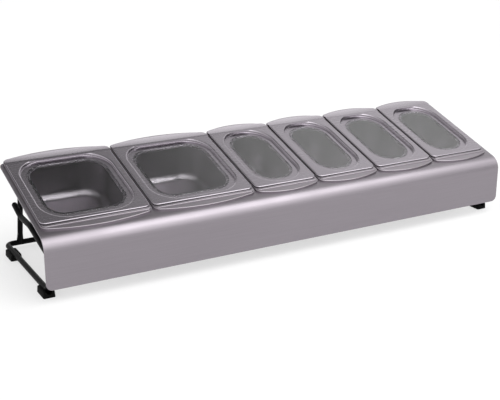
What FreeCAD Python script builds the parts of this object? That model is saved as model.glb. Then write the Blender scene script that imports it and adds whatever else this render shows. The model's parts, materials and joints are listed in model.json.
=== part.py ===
import FreeCAD, Part
import math
import os
import Sketcher

doc = FreeCAD.newDocument("topping_station")
Vector = FreeCAD.Vector
UP = Vector(0, 0, 1)

# Driving sizes in millimetres and degrees
SIZES = [
    ("large_pitch", 162),
    ("small_pitch", 108),
    ("rim_gap", 2),
    ("lid_gap", 4),
    ("overall_depth", 222),
    ("tilt", 16),
    ("deck_front_height", 97.7),
    ("deck_setback", 32.1),
    ("deck_depth", 169),
    ("side_margin", 5.1),
    ("sheet_thick", 1.5),
    ("front_bend", 20),
    ("rear_bend", 4),
    ("rear_return", 14),
    ("return_notch", 13),
    ("sheet_corner", 9),
    ("apron_clear", 19.5),
    ("pan_line", 81),
    ("rim_depth", 176),
    ("rim_arch", 10),
    ("rim_corner", 10),
    ("rim_height", 2.6),
    ("rim_round", 0.8),
    ("pan_thick", 0.9),
    ("pan_depth", 65),
    ("pan_draft", 8.5),
    ("floor_round", 14),
    ("mouth_round", 2),
    ("cutout_clear", 1.6),
    ("lid_depth", 162),
    ("lid_corner", 8),
    ("lid_edge", 1.6),
    ("lid_thick", 0.8),
    ("lid_round", 1.2),
    ("seal_height", 1.6),
    ("seal_width", 2.4),
    ("seal_inset", 1.6),
    ("recess_side", 11.25),
    ("recess_end", 7.5),
    ("recess_corner", 38),
    ("recess_drop", 4),
    ("recess_round", 2.4),
    ("ledge_round", 1),
    ("well_clear", 1),
    ("ledge_side", 8),
    ("ledge_end", 10),
    ("seat_width", 4.5),
    ("pane_thick", 1.5),
    ("pane_fit", 0.15),
    ("pane_round", 0.4),
    ("rod_dia", 8),
    ("rod_inset", 4.8),
    ("rail_height", 9),
    ("rear_corner", 10),
    ("front_turn", 15),
    ("front_turn_back", 35.5),
    ("knee_radius", 12),
    ("knee_back", 22.5),
    ("knee_height", 53.2),
    ("crest_radius", 50),
    ("crest_back", 94),
    ("crest_height", 30.8),
    ("kink_radius", 45),
    ("kink_back", 124.3),
    ("kink_height", 125.5),
    ("tip_back", 162.1),
    ("tip_height", 90.9),
    ("tip_round", 3.5),
    ("post_inset", 25.1),
    ("post_from_rear", 9),
    ("tab_length", 30),
    ("tab_depth", 9),
    ("tab_thick", 2),
    ("tab_shift", 6),
    ("tab_round", 3),
    ("weld_gap", 0.05),
    ("stud_dia", 5),
    ("stud_length", 8.5),
    ("stud_fit", 0.3),
    ("nut_across", 8),
    ("nut_height", 4),
    ("nut_fit", 0.05),
    ("rear_stud_inset", 13.5),
    ("bracket_thick", 2.5),
    ("bracket_width", 30),
    ("bracket_height", 18),
    ("bracket_base", 42),
    ("bracket_bend", 4),
    ("bracket_reach", 25),
    ("front_stud_inset", 27),
    ("foot_width", 15.6),
    ("foot_length", 30),
    ("foot_height", 9.2),
    ("foot_flare", 0.8),
    ("foot_round", 2),
    ("foot_fit", 0.1),
    ("front_foot_back", 35.3),
    ("rear_foot_inset", 37.8),
    ("overrun", 5),
]

# Sizes that follow from the driving sizes
DERIVED = [
    ("row_half", "=large_pitch + 2 * small_pitch"),
    ("sheet_length", "=2 * (row_half + side_margin)"),
    ("sheet_half", "=sheet_length / 2"),
    ("front_face", "=overall_depth / 2"),
    ("deck_y", "=deck_setback - front_face"),
    ("pan_y", "=deck_y + pan_line * cos(tilt)"),
    ("pan_z", "=deck_front_height + pan_line * sin(tilt)"),
    ("bend_start", "=deck_setback / cos(tilt) - front_bend * tan((90 - tilt) / 2)"),
    ("apron_run",
     "=deck_front_height - deck_setback * tan(tilt) - apron_clear - front_bend * tan((90 - tilt) / 2)"),
    ("apron_end_v", "=bend_start + front_bend * cos(tilt) + apron_run * sin(tilt)"),
    ("apron_end_z", "=front_bend - front_bend * sin(tilt) + apron_run * cos(tilt)"),
    ("apron_in_v", "=apron_end_v - sheet_thick * cos(tilt)"),
    ("apron_in_z", "=apron_end_z + sheet_thick * sin(tilt)"),
    ("front_bend_in", "=front_bend - sheet_thick"),
    ("rear_bend_v", "=deck_depth - rear_bend"),
    ("rear_bend_in", "=rear_bend - sheet_thick"),
    ("return_in_v", "=deck_depth - sheet_thick"),
    ("notch_x", "=sheet_half - return_notch / 2 + overrun / 2"),
    ("notch_half", "=(return_notch + overrun) / 2"),
    ("notch_v", "=deck_depth - rear_bend / 2 + overrun / 2"),
    ("notch_deep", "=(rear_bend + overrun) / 2"),
    ("recess_half_v", "=lid_depth / 2 - recess_end"),
    ("mouth_corner", "=recess_corner + lid_thick + well_clear"),
    ("mouth_half_v", "=recess_half_v + lid_thick + well_clear"),
    ("tub_corner", "=mouth_corner + pan_thick"),
    ("tub_half_v", "=mouth_half_v + pan_thick"),
    ("floor_corner", "=mouth_corner - pan_draft"),
    ("floor_half_v", "=mouth_half_v - pan_draft"),
    ("base_corner", "=floor_corner + pan_thick"),
    ("base_half_v", "=floor_half_v + pan_thick"),
    ("base_round", "=floor_round + pan_thick"),
    ("floor_z", "=rim_height - pan_depth"),
    ("base_z", "=floor_z - pan_thick"),
    ("rim_hollow", "=rim_height - pan_thick"),
    ("rim_half_v", "=rim_depth / 2 + rim_arch"),
    ("rim_in_half_v", "=rim_half_v - pan_thick"),
    ("rim_in_corner", "=rim_corner - pan_thick"),
    ("cutout_corner", "=tub_corner + cutout_clear"),
    ("cutout_half_v", "=tub_half_v + cutout_clear"),
    ("lid_under", "=rim_height + seal_height"),
    ("lid_top", "=lid_under + lid_thick"),
    ("lid_skirt_z", "=lid_top - lid_edge"),
    ("lid_half_v", "=lid_depth / 2"),
    ("lid_in_half_v", "=lid_half_v - lid_thick"),
    ("lid_in_corner", "=lid_corner - lid_thick"),
    ("skirt_hollow", "=lid_edge - lid_thick"),
    ("ledge_z", "=lid_top - recess_drop"),
    ("well_z", "=ledge_z - lid_thick"),
    ("well_corner", "=recess_corner + lid_thick"),
    ("well_half_v", "=recess_half_v + lid_thick"),
    ("well_height", "=lid_top - well_z"),
    ("well_round", "=recess_round - lid_thick"),
    ("pane_half_v", "=recess_half_v - ledge_end"),
    ("pane_corner", "=recess_corner - ledge_side"),
    ("seat_half_v", "=pane_half_v + pane_fit"),
    ("seat_corner", "=pane_corner + pane_fit"),
    ("cup_half_v", "=seat_half_v + lid_thick"),
    ("cup_corner", "=seat_corner + lid_thick"),
    ("seat_z", "=ledge_z - pane_thick"),
    ("cup_z", "=seat_z - lid_thick"),
    ("cup_height", "=pane_thick + lid_thick"),
    ("hole_half_v", "=pane_half_v - seat_width"),
    ("hole_corner", "=pane_corner - seat_width"),
    ("hole_cut", "=lid_thick + overrun"),
    ("seal_half_v", "=lid_half_v - seal_inset"),
    ("seal_corner", "=lid_corner - seal_inset"),
    ("seal_in_half_v", "=seal_half_v - seal_width"),
    ("seal_in_corner", "=seal_corner - seal_width"),
    ("rod_half", "=rod_dia / 2"),
    ("rail_x", "=row_half - rod_inset"),
    ("back_rail_y", "=front_face - rod_half"),
    ("corner_x", "=rail_x - rear_corner"),
    ("corner_y", "=back_rail_y - rear_corner"),
    ("turn_y", "=front_face - front_turn_back"),
    ("turn_z", "=rail_height + front_turn"),
    ("knee_y", "=front_face - knee_back"),
    ("crest_y", "=front_face - crest_back"),
    ("kink_y", "=kink_back - front_face"),
    ("tip_y", "=tip_back - front_face"),
    ("post_x", "=row_half - post_inset"),
    ("tab_z", "=sheet_thick + tab_thick"),
    ("post_line", "=deck_depth - post_from_rear"),
    ("post_top_y", "=deck_y + post_line * cos(tilt) + tab_z * sin(tilt)"),
    ("post_top_z", "=deck_front_height + post_line * sin(tilt) - tab_z * cos(tilt)"),
    ("post_rise", "=post_top_z - rail_height"),
    ("post_fall", "=back_rail_y - post_top_y"),
    ("post_span", "=sqrt(post_rise ^ 2 + post_fall ^ 2)"),
    ("post_lean", "=atan(post_fall / post_rise)"),
    ("cope_half", "=rod_half + weld_gap"),
    ("tab_x", "=post_x + tab_shift"),
    ("tab_half_x", "=tab_length / 2"),
    ("tab_half_v", "=tab_depth / 2"),
    ("tab_y", "=deck_y + post_line * cos(tilt)"),
    ("tab_up", "=deck_front_height + post_line * sin(tilt)"),
    ("rear_stud_x", "=row_half - rear_stud_inset"),
    ("rear_stud_shift", "=rear_stud_x - tab_x"),
    ("rear_stud_y", "=tab_y + sheet_thick * sin(tilt)"),
    ("rear_stud_z", "=tab_up - sheet_thick * cos(tilt)"),
    ("rear_nut_y", "=tab_y + tab_z * sin(tilt)"),
    ("rear_nut_z", "=tab_up - tab_z * cos(tilt)"),
    ("stud_half", "=stud_dia / 2"),
    ("stud_hole", "=stud_half + stud_fit"),
    ("nut_half", "=nut_across / 2 / cos(30)"),
    ("nut_hole", "=stud_half + nut_fit"),
    ("apron_back", "=front_face - sheet_thick"),
    ("bracket_x", "=rail_x - rod_half - weld_gap"),
    ("bracket_in_x", "=bracket_x - bracket_width"),
    ("bracket_web_x", "=bracket_x - bracket_thick"),
    ("bracket_flange_y", "=apron_back - bracket_thick"),
    ("bracket_end_y", "=apron_back - bracket_reach"),
    ("bracket_bend_x", "=bracket_x - bracket_bend"),
    ("bracket_bend_y", "=apron_back - bracket_bend"),
    ("bracket_bend_in", "=bracket_bend - bracket_thick"),
    ("front_stud_x", "=rail_x - front_stud_inset"),
    ("front_stud_z", "=bracket_base + bracket_height / 2"),
    ("foot_half", "=foot_width / 2"),
    ("foot_base_half", "=foot_half + foot_flare"),
    ("foot_cut", "=foot_length + overrun"),
    ("saddle_half", "=rod_half + foot_fit"),
    ("front_foot_y", "=front_face - front_foot_back"),
    ("rear_foot_y", "=front_face - rear_foot_inset"),
]

# Sizes of the two pan widths
for kind in ("large", "small"):
    own = [
        ("%s_rim_half", "=%s_pitch / 2 - rim_gap / 2"),
        ("%s_rim_in_half", "=%s_rim_half - pan_thick"),
        ("%s_arch_radius", "=(%s_rim_half ^ 2 + rim_arch ^ 2) / (2 * rim_arch)"),
        ("%s_arch_centre", "=%s_arch_radius - rim_half_v"),
        ("%s_arch_in_radius", "=%s_arch_radius - pan_thick"),
        ("%s_lid_half", "=%s_pitch / 2 - lid_gap / 2"),
        ("%s_lid_in_half", "=%s_lid_half - lid_thick"),
        ("%s_recess_half", "=%s_lid_half - recess_side"),
        ("%s_well_half", "=%s_recess_half + lid_thick"),
        ("%s_mouth_half", "=%s_well_half + well_clear"),
        ("%s_tub_half", "=%s_mouth_half + pan_thick"),
        ("%s_floor_half", "=%s_mouth_half - pan_draft"),
        ("%s_base_half", "=%s_floor_half + pan_thick"),
        ("%s_cutout_half", "=%s_tub_half + cutout_clear"),
        ("%s_pane_half", "=%s_recess_half - ledge_side"),
        ("%s_seat_half", "=%s_pane_half + pane_fit"),
        ("%s_cup_half", "=%s_seat_half + lid_thick"),
        ("%s_hole_half", "=%s_pane_half - seat_width"),
        ("%s_seal_half", "=%s_lid_half - seal_inset"),
        ("%s_seal_in_half", "=%s_seal_half - seal_width"),
    ]
    DERIVED += [(name % kind, formula.replace("%s", kind)) for name, formula in own]

# Centres of the six pans along the row
DERIVED += [
    ("pan_1_x", "=large_pitch / 2 - row_half"),
    ("pan_2_x", "=pan_1_x + large_pitch"),
    ("pan_3_x", "=pan_2_x + (large_pitch + small_pitch) / 2"),
    ("pan_4_x", "=pan_3_x + small_pitch"),
    ("pan_5_x", "=pan_4_x + small_pitch"),
    ("pan_6_x", "=pan_5_x + small_pitch"),
    ("small_run", "=3 * small_pitch"),
]
PANS = [("1", "large"), ("2", "large"), ("3", "small"), ("4", "small"), ("5", "small"), ("6", "small")]

sheet = doc.addObject("Spreadsheet::Sheet", "sizes")
for row, (alias, amount) in enumerate(SIZES + DERIVED, 1):
    sheet.set("A%d" % row, alias)
    sheet.set("B%d" % row, str(amount))
    sheet.setAlias("B%d" % row, alias)
doc.recompute()


def at(name):
    """Value of a sheet cell; a leading minus sign negates it and 0 stands for itself."""
    if name == "0":
        return 0.0
    if name.startswith("-"):
        return -float(sheet.get(name[1:]))
    return float(sheet.get(name))


def cell(name):
    """Expression that reads a sheet cell, with its sign."""
    if name.startswith("-"):
        return "-sizes." + name[1:]
    return "sizes." + name


def bind(thing, **paths):
    """Bind properties of an object to sheet cells; double underscores stand for dots."""
    for path, name in paths.items():
        thing.setExpression(path.replace("__", "."), cell(name))


def place(thing, x="0", y="0", z="0", turn=None):
    """Bind an object's place, and its turn about X, to sheet cells."""
    if turn:
        thing.Placement = FreeCAD.Placement(Vector(), FreeCAD.Rotation(Vector(1, 0, 0), at(turn)))
        thing.setExpression("Placement.Rotation.Angle", cell(turn))
    for axis, name in (("x", x), ("y", y), ("z", z)):
        if name != "0":
            thing.setExpression("Placement.Base." + axis, cell(name))


def new_body(label, x="0", y="0", z="0", turn=None):
    """Body with its label and its bound place."""
    body = doc.addObject("PartDesign::Body", label)
    body.Label = label
    place(body, x, y, z, turn)
    return body


def origin_plane(body, role):
    """One of a body's own origin planes."""
    return next(item for item in body.Origin.OriginFeatures if item.Role == role)


def new_sketch(body, name, role="XY_Plane", x="0", y="0", z="0"):
    """Sketch on an origin plane of its body, shifted by sheet cells."""
    sketch = body.newObject("Sketcher::SketchObject", name)
    sketch.AttachmentSupport = [(origin_plane(body, role), "")]
    sketch.MapMode = "FlatFace"
    for axis, cell_name in (("x", x), ("y", y), ("z", z)):
        if cell_name != "0":
            sketch.setExpression("AttachmentOffset.Base." + axis, cell(cell_name))
    return sketch


def dimension(sketch, kind, refs, name):
    """Add a dimension that follows a sheet cell."""
    number = sketch.addConstraint(Sketcher.Constraint(kind, *refs, abs(at(name))))
    tag = "size_%d" % number
    sketch.renameConstraint(number, tag)
    sketch.setExpression("Constraints." + tag, cell(name.lstrip("-")))


def pin(sketch, geometry, point, x=None, y=None):
    """Hold a point of a sketch at sheet cells measured from the sketch origin."""
    for kind, axis, name in (("DistanceX", -2, x), ("DistanceY", -1, y)):
        if name is None:
            continue
        if name == "0":
            sketch.addConstraint(Sketcher.Constraint("PointOnObject", geometry, point, axis))
        elif name.startswith("-"):
            dimension(sketch, kind, (geometry, point, -1, 1), name)
        else:
            dimension(sketch, kind, (-1, 1, geometry, point), name)


def line(sketch, start, end):
    return sketch.addGeometry(Part.LineSegment(start, end))


def arc(sketch, centre, radius, first, last):
    """Counter-clockwise arc between two angles in radians."""
    return sketch.addGeometry(Part.ArcOfCircle(Part.Circle(centre, UP, radius), first, last))


def tangent(sketch, *refs):
    sketch.addConstraint(Sketcher.Constraint("Tangent", *refs))


def rounded_rectangle(sketch, half_x, half_y, corner):
    """Centred rectangle with equal round corners, from three sheet cells."""
    a, b, r = at(half_x), at(half_y), at(corner)
    quarter = math.pi / 2
    centres = [Vector(a - r, r - b), Vector(a - r, b - r), Vector(r - a, b - r), Vector(r - a, r - b)]
    sides = [
        line(sketch, Vector(r - a, -b), Vector(a - r, -b)),
        line(sketch, Vector(a, r - b), Vector(a, b - r)),
        line(sketch, Vector(a - r, b), Vector(r - a, b)),
        line(sketch, Vector(-a, b - r), Vector(-a, r - b)),
    ]
    rounds = [arc(sketch, centre, r, (k - 1) * quarter, k * quarter) for k, centre in enumerate(centres)]
    for k in range(4):
        tangent(sketch, sides[k], 2, rounds[k], 1)
        tangent(sketch, rounds[k], 2, sides[(k + 1) % 4], 1)
        sketch.addConstraint(Sketcher.Constraint("Vertical" if k % 2 else "Horizontal", sides[k]))
    for k in range(1, 4):
        sketch.addConstraint(Sketcher.Constraint("Equal", rounds[0], rounds[k]))
    dimension(sketch, "Radius", (rounds[0],), corner)
    pin(sketch, sides[0], 1, y="-" + half_y)
    pin(sketch, sides[1], 1, x=half_x)
    pin(sketch, sides[2], 1, y=half_y)
    pin(sketch, sides[3], 1, x="-" + half_x)


def arched_outline(sketch, half_x, corner, arch_radius, arch_centre):
    """Outline with straight sides, round corners and bowed front and rear edges."""
    a, r, big, c = at(half_x), at(corner), at(arch_radius), at(arch_centre)
    corner_y = math.sqrt((big - r) ** 2 - (a - r) ** 2) - c
    lean = math.atan2(corner_y + c, a - r)
    half_turn = math.pi
    front = arc(sketch, Vector(0, c), big, lean - half_turn, -lean)
    right_front = arc(sketch, Vector(a - r, -corner_y), r, -lean, 0)
    right = line(sketch, Vector(a, -corner_y), Vector(a, corner_y))
    right_rear = arc(sketch, Vector(a - r, corner_y), r, 0, lean)
    rear = arc(sketch, Vector(0, -c), big, lean, half_turn - lean)
    left_rear = arc(sketch, Vector(r - a, corner_y), r, half_turn - lean, half_turn)
    left = line(sketch, Vector(-a, corner_y), Vector(-a, -corner_y))
    left_front = arc(sketch, Vector(r - a, -corner_y), r, half_turn, half_turn + lean)
    ring = [front, right_front, right, right_rear, rear, left_rear, left, left_front]
    for k, part in enumerate(ring):
        tangent(sketch, part, 2, ring[(k + 1) % len(ring)], 1)
    for side, name in ((right, half_x), (left, "-" + half_x)):
        sketch.addConstraint(Sketcher.Constraint("Vertical", side))
        pin(sketch, side, 1, x=name)
    for other in (right_rear, left_rear, left_front):
        sketch.addConstraint(Sketcher.Constraint("Equal", right_front, other))
    dimension(sketch, "Radius", (right_front,), corner)
    sketch.addConstraint(Sketcher.Constraint("Equal", front, rear))
    dimension(sketch, "Radius", (front,), arch_radius)
    sign = "" if c > 0 else "-"
    back = "-" if c > 0 else ""
    pin(sketch, front, 3, "0", sign + arch_centre)
    pin(sketch, rear, 3, "0", back + arch_centre)


def chain(sketch, start, bends, end):
    """Line and arc path between two points, each bend given as centre, radius and turn."""
    nodes = [(Vector(at(start[0]), at(start[1])), 0)]
    for x, y, radius, turn in bends:
        nodes.append((Vector(at(x), at(y)), at(radius) * turn))
    nodes.append((Vector(at(end[0]), at(end[1])), 0))
    lines, touches = [], []
    for (c0, s0), (c1, s1) in zip(nodes, nodes[1:]):
        step = c1 - c0
        heading = math.atan2(step.y, step.x) - math.asin((s1 - s0) / step.Length)
        normal = Vector(-math.sin(heading), math.cos(heading))
        touches.append((c0 - normal * s0, c1 - normal * s1))
        lines.append(line(sketch, *touches[-1]))
    for k, (x, y, radius, turn) in enumerate(bends):
        centre = nodes[k + 1][0]
        ends = [touches[k][1] - centre, touches[k + 1][0] - centre]
        first, last = [math.atan2(e.y, e.x) for e in (ends if turn > 0 else ends[::-1])]
        if last < first:
            last += 2 * math.pi
        bend = arc(sketch, centre, at(radius), first, last)
        enter, leave = (1, 2) if turn > 0 else (2, 1)
        tangent(sketch, lines[k], 2, bend, enter)
        tangent(sketch, bend, leave, lines[k + 1], 1)
        dimension(sketch, "Radius", (bend,), radius)
        pin(sketch, bend, 3, x, y)
    pin(sketch, lines[0], 1, *start)
    pin(sketch, lines[-1], 2, *end)
    return lines[0], lines[-1]


def close(sketch, first, last):
    """Straight edge between the ends of two open paths."""
    ends = [sketch.getPoint(*first), sketch.getPoint(*last)]
    edge = line(sketch, *ends)
    sketch.addConstraint(Sketcher.Constraint("Coincident", edge, 1, *first))
    sketch.addConstraint(Sketcher.Constraint("Coincident", edge, 2, *last))


def circle(sketch, x, y, radius):
    """Circle at sheet cells."""
    ring = sketch.addGeometry(Part.Circle(Vector(at(x), at(y)), UP, at(radius)))
    dimension(sketch, "Radius", (ring,), radius)
    pin(sketch, ring, 3, x, y)


def pad(body, sketch, length, name, symmetric=False, down=False):
    feature = body.newObject("PartDesign::Pad", name)
    feature.Profile = sketch
    if symmetric:
        feature.SideType = "Symmetric"
    feature.Reversed = down
    bind(feature, Length=length)
    sketch.Visibility = False
    doc.recompute()
    return feature


def cut(body, sketch, length, name, up=False, symmetric=False):
    """Pocket that has to take material away."""
    before = body.Shape.Volume
    feature = body.newObject("PartDesign::Pocket", name)
    feature.Profile = sketch
    if symmetric:
        feature.SideType = "Symmetric"
    feature.Reversed = up
    bind(feature, Length=length)
    doc.recompute()
    if body.Shape.Volume >= before:
        raise RuntimeError(name + " takes nothing away")
    return feature


def loft(body, kind, sections, name):
    feature = body.newObject("PartDesign::" + kind, name)
    feature.Profile = sections[0]
    feature.Sections = sections[1:]
    doc.recompute()
    return feature


def edge_names(shape, test):
    """Names of a shape's edges that pass a test."""
    return ["Edge%d" % k for k, edge in enumerate(shape.Edges, 1) if test(edge)]


def fillet(body, radius, test, name):
    """Round those edges of a body's tip that pass a test."""
    base = body.Tip
    names = edge_names(base.Shape, test)
    if not names:
        raise RuntimeError(name + " finds no edge")
    feature = body.newObject("PartDesign::Fillet", name)
    feature.Base = (base, names)
    bind(feature, Radius=radius)
    doc.recompute()
    return feature


def reaches(edge, z):
    """How far a level edge reaches along X and Y, or nothing when it lies at another height."""
    box = edge.BoundBox
    if max(abs(box.ZMin - at(z)), abs(box.ZMax - at(z))) > at("weld_gap"):
        return None
    return max(abs(box.XMin), abs(box.XMax)), max(abs(box.YMin), abs(box.YMax))


def level_loop(z, half_x, half_y):
    """Test for the edges of a level loop that just fills a rectangle."""

    def test(edge):
        reach = reaches(edge, z)
        if reach is None:
            return False
        over_x, over_y = reach[0] - at(half_x), reach[1] - at(half_y)
        return max(over_x, over_y) < at("weld_gap") and max(over_x, over_y) > -at("weld_gap")

    return test


def outside_loop(z, half_x, half_y):
    """Test for level edges that reach beyond a rectangle."""

    def test(edge):
        reach = reaches(edge, z)
        return reach is not None and (reach[0] > at(half_x) or reach[1] > at(half_y))

    return test


# Deck: bent sheet with six cut-outs, built flat in its own frame and then tilted
deck = new_body("deck_sheet", y="deck_y", z="deck_front_height", turn="tilt")
profile = new_sketch(deck, "deck_profile", "YZ_Plane")
outer = chain(
    profile,
    ("-apron_end_v", "-apron_end_z"),
    [("-bend_start", "-front_bend", "front_bend", -1), ("rear_bend_v", "-rear_bend", "rear_bend", -1)],
    ("deck_depth", "-rear_return"),
)
inner = chain(
    profile,
    ("-apron_in_v", "-apron_in_z"),
    [("-bend_start", "-front_bend", "front_bend_in", -1), ("rear_bend_v", "-rear_bend", "rear_bend_in", -1)],
    ("return_in_v", "-rear_return"),
)
close(profile, (outer[0], 1), (inner[0], 1))
close(profile, (outer[1], 2), (inner[1], 2))
pad(deck, profile, "sheet_length", "deck_pad", symmetric=True)

CUTOUT_ROWS = [("large", "pan_1_x", "large_pitch"), ("small", "pan_3_x", "small_run")]
for kind, first, run in CUTOUT_ROWS:
    mouth = new_sketch(deck, kind + "_cutout", x=first, y="pan_line", z="overrun")
    rounded_rectangle(mouth, kind + "_cutout_half", "cutout_half_v", "cutout_corner")
    hole = cut(deck, mouth, "apron_clear", kind + "_cutout_cut")
    row_of = deck.newObject("PartDesign::LinearPattern", kind + "_cutout_row")
    row_of.Originals = [hole]
    row_of.Direction = (next(item for item in deck.Origin.OriginFeatures if item.Role == "X_Axis"), [""])
    row_of.Occurrences = sum(1 for _, which in PANS if which == kind)
    bind(row_of, Length=run)
    deck.Tip = row_of
    doc.recompute()

for side, centre in (("left", "-notch_x"), ("right", "notch_x")):
    corner = new_sketch(deck, side + "_notch", x=centre, y="notch_v", z="overrun")
    rounded_rectangle(corner, "notch_half", "notch_deep", "sheet_thick")
    cut(deck, corner, "front_bend", side + "_notch_cut")


def is_sheet_corner(edge):
    """Short edge across the sheet at one of its four outer corners."""
    middle = edge.BoundBox.Center
    at_end = abs(abs(middle.x) - at("sheet_half")) < at("weld_gap")
    return at_end and abs(edge.Length - at("sheet_thick")) < at("weld_gap") and len(edge.Vertexes) == 2


fillet(deck, "sheet_corner", is_sheet_corner, "sheet_corners")

# Pans: drawn tubs with an arched, turned-down rim
for number, kind in PANS:
    pan = new_body("pan_" + number, "pan_%s_x" % number, "pan_y", "pan_z", "tilt")
    outline = new_sketch(pan, "rim_outline_" + number)
    arched_outline(outline, kind + "_rim_half", "rim_corner", kind + "_arch_radius", kind + "_arch_centre")
    pad(pan, outline, "rim_height", "rim_" + number)
    under = new_sketch(pan, "rim_under_" + number)
    arch_in = kind + "_arch_in_radius"
    arched_outline(under, kind + "_rim_in_half", "rim_in_corner", arch_in, kind + "_arch_centre")
    cut(pan, under, "rim_hollow", "rim_hollow_" + number, up=True)
    tub = []
    for name, height, half_x, half_y, corner in (
        ("tub_top_", "rim_height", "_tub_half", "tub_half_v", "tub_corner"),
        ("tub_base_", "base_z", "_base_half", "base_half_v", "base_corner"),
    ):
        tub.append(new_sketch(pan, name + number, z=height))
        rounded_rectangle(tub[-1], kind + half_x, half_y, corner)
    loft(pan, "AdditiveLoft", tub, "tub_" + number)
    hollow = []
    for name, height, half_x, half_y, corner in (
        ("mouth_", "rim_height", "_mouth_half", "mouth_half_v", "mouth_corner"),
        ("floor_", "floor_z", "_floor_half", "floor_half_v", "floor_corner"),
    ):
        hollow.append(new_sketch(pan, name + number, z=height))
        rounded_rectangle(hollow[-1], kind + half_x, half_y, corner)
    loft(pan, "SubtractiveLoft", hollow, "hollow_" + number)
    for radius, height, half_x, half_y in (
        ("base_round", "base_z", "_base_half", "base_half_v"),
        ("floor_round", "floor_z", "_floor_half", "floor_half_v"),
        ("mouth_round", "rim_height", "_mouth_half", "mouth_half_v"),
    ):
        fillet(pan, radius, level_loop(height, kind + half_x, half_y), "%s_%s" % (radius, number))
    beyond_lid = outside_loop("rim_height", kind + "_lid_half", "lid_half_v")
    fillet(pan, "rim_round", beyond_lid, "rim_round_" + number)

# Lids: pressed frames with a recessed well and a window seat, clear panes and soft seals
for number, kind in PANS:
    spot = ("pan_%s_x" % number, "pan_y", "pan_z", "tilt")
    lid = new_body("lid_frame_" + number, *spot)
    steps = (
        ("skirt", "lid_skirt_z", "_lid_half", "lid_half_v", "lid_corner", "lid_edge", "pad"),
        ("inside", "lid_skirt_z", "_lid_in_half", "lid_in_half_v", "lid_in_corner", "skirt_hollow", "hollow"),
        ("well", "well_z", "_well_half", "well_half_v", "well_corner", "well_height", "pad"),
        ("cup", "cup_z", "_cup_half", "cup_half_v", "cup_corner", "cup_height", "pad"),
        ("recess", "lid_top", "_recess_half", "recess_half_v", "recess_corner", "recess_drop", "cut"),
        ("seat", "ledge_z", "_seat_half", "seat_half_v", "seat_corner", "pane_thick", "cut"),
        ("opening", "seat_z", "_hole_half", "hole_half_v", "hole_corner", "hole_cut", "cut"),
    )
    for name, height, half_x, half_y, corner, length, how in steps:
        shape = new_sketch(lid, "lid_%s_%s" % (name, number), z=height)
        rounded_rectangle(shape, kind + half_x, half_y, corner)
        label = "lid_%s_%s_step" % (name, number)
        if how == "pad":
            pad(lid, shape, length, label)
        else:
            cut(lid, shape, length, label, up=(how == "hollow"))
    for radius, height, half_x, half_y in (
        ("well_round", "lid_under", "_well_half", "well_half_v"),
        ("recess_round", "lid_top", "_recess_half", "recess_half_v"),
        ("ledge_round", "ledge_z", "_recess_half", "recess_half_v"),
        ("lid_round", "lid_top", "_lid_half", "lid_half_v"),
    ):
        fillet(lid, radius, level_loop(height, kind + half_x, half_y), "%s_%s" % (radius, number))

    window = new_body("lid_window_" + number, *spot)
    pane = new_sketch(window, "pane_" + number, z="seat_z")
    rounded_rectangle(pane, kind + "_pane_half", "pane_half_v", "pane_corner")
    pad(window, pane, "pane_thick", "pane_pad_" + number)
    pane_rim = level_loop("ledge_z", kind + "_pane_half", "pane_half_v")
    fillet(window, "pane_round", pane_rim, "pane_round_" + number)

    seal = new_body("lid_seal_" + number, *spot)
    band = new_sketch(seal, "seal_" + number, z="rim_height")
    rounded_rectangle(band, kind + "_seal_half", "seal_half_v", "seal_corner")
    rounded_rectangle(band, kind + "_seal_in_half", "seal_in_half_v", "seal_in_corner")
    pad(seal, band, "seal_height", "seal_pad_" + number)

# Stand: one bent rod with rails, a back rail and two arms that end free
stand = new_body("stand_rod")
base_path = new_sketch(stand, "base_path", z="rail_height")
chain(
    base_path,
    ("-rail_x", "0"),
    [("-corner_x", "corner_y", "rear_corner", -1), ("corner_x", "corner_y", "rear_corner", -1)],
    ("rail_x", "0"),
)
arm_path = new_sketch(stand, "arm_path", "YZ_Plane", z="-rail_x")
chain(
    arm_path,
    ("0", "rail_height"),
    [
        ("-turn_y", "turn_z", "front_turn", -1),
        ("-knee_y", "knee_height", "knee_radius", -1),
        ("-crest_y", "crest_height", "crest_radius", -1),
        ("kink_y", "kink_height", "kink_radius", 1),
    ],
    ("tip_y", "tip_height"),
)
for name, path in (("base", base_path), ("arm", arm_path)):
    section = new_sketch(stand, name + "_section", "XZ_Plane")
    circle(section, "-rail_x", "rail_height", "rod_half")
    doc.recompute()
    pipe = stand.newObject("PartDesign::AdditivePipe", name + "_pipe")
    pipe.Profile = section
    pipe.Spine = (path, ["Edge%d" % k for k in range(1, len(path.Shape.Edges) + 1)])
    doc.recompute()
twin = stand.newObject("PartDesign::Mirrored", "arm_twin")
twin.Originals = [pipe]
twin.MirrorPlane = (origin_plane(stand, "YZ_Plane"), [""])
stand.Tip = twin
doc.recompute()


def is_arm_tip(edge):
    """Rim of the rod at a free end of an arm."""
    middle = edge.BoundBox.Center
    return math.hypot(middle.y - at("tip_y"), middle.z - at("tip_height")) < at("weld_gap")


fillet(stand, "tip_round", is_arm_tip, "arm_tips")

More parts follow.
